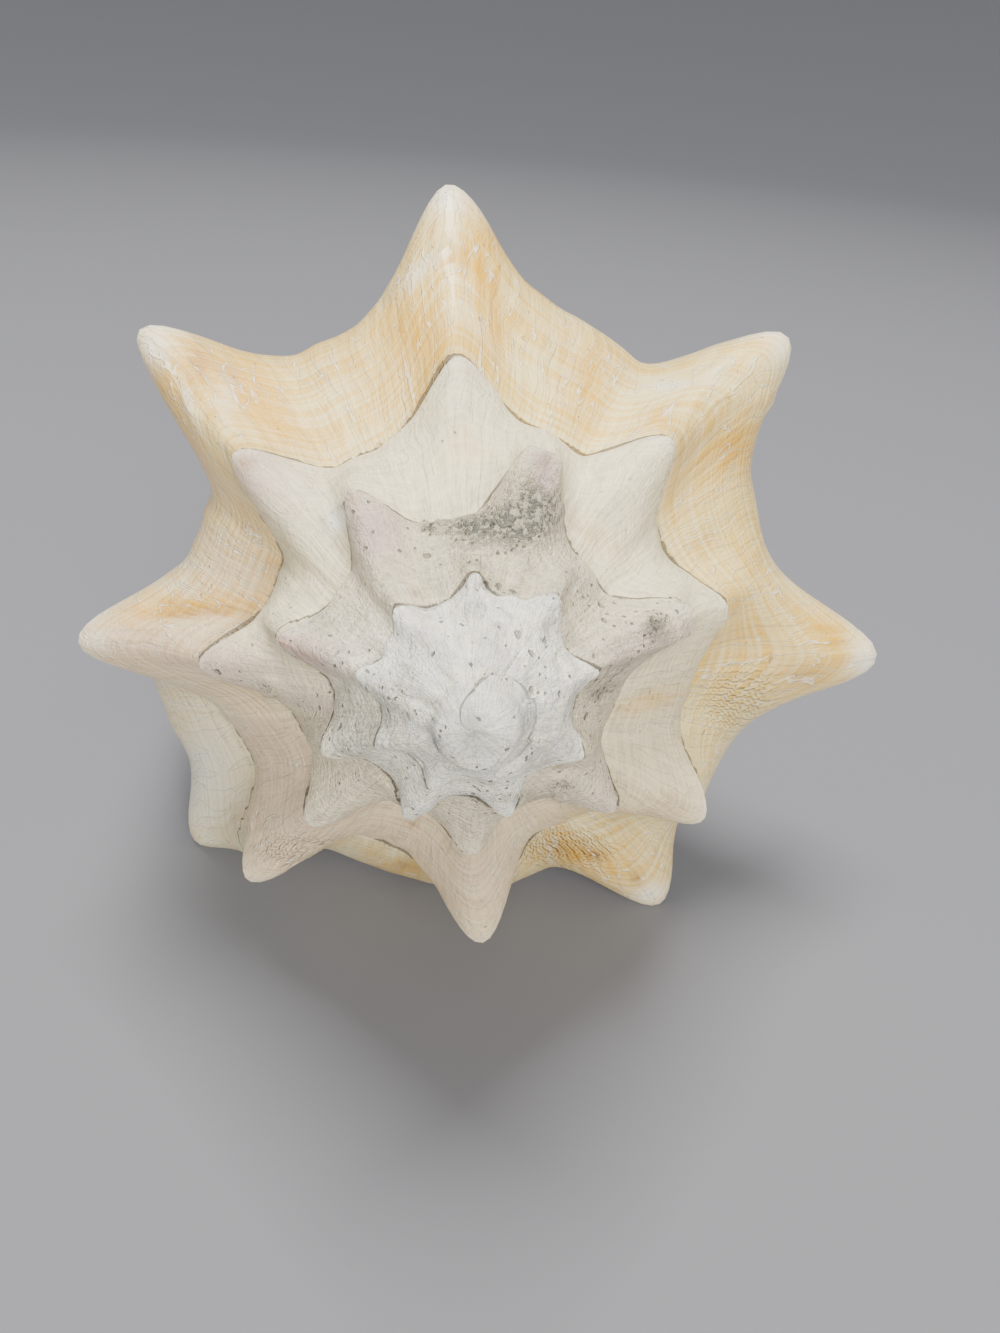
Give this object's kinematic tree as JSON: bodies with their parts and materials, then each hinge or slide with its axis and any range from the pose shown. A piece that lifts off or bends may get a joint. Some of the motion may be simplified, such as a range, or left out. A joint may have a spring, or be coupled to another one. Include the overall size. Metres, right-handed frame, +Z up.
{
  "type": "conch shell",
  "caption": "Large spiny conch shell lying on the spines of its back, spire forward, with its long narrow opening facing up.",
  "frame": {"origin": "centre of the object's box in plan, on the surface the shell lies on", "axes": "+Z up; the shell's axis lies in the YZ plane, apex towards -Y, canal end towards +Y; +X right as seen from the apex"},
  "size_m": [0.1555, 0.2286, 0.1416],
  "materials": {
    "shell": "cream and caramel polished shell on the last turn, chalky grey-white and pitted towards the apex, pink glaze inside the opening"
  },
  "bodies": {
    "root": {"conch_shell": "shell"}
  },
  "joints": []
}
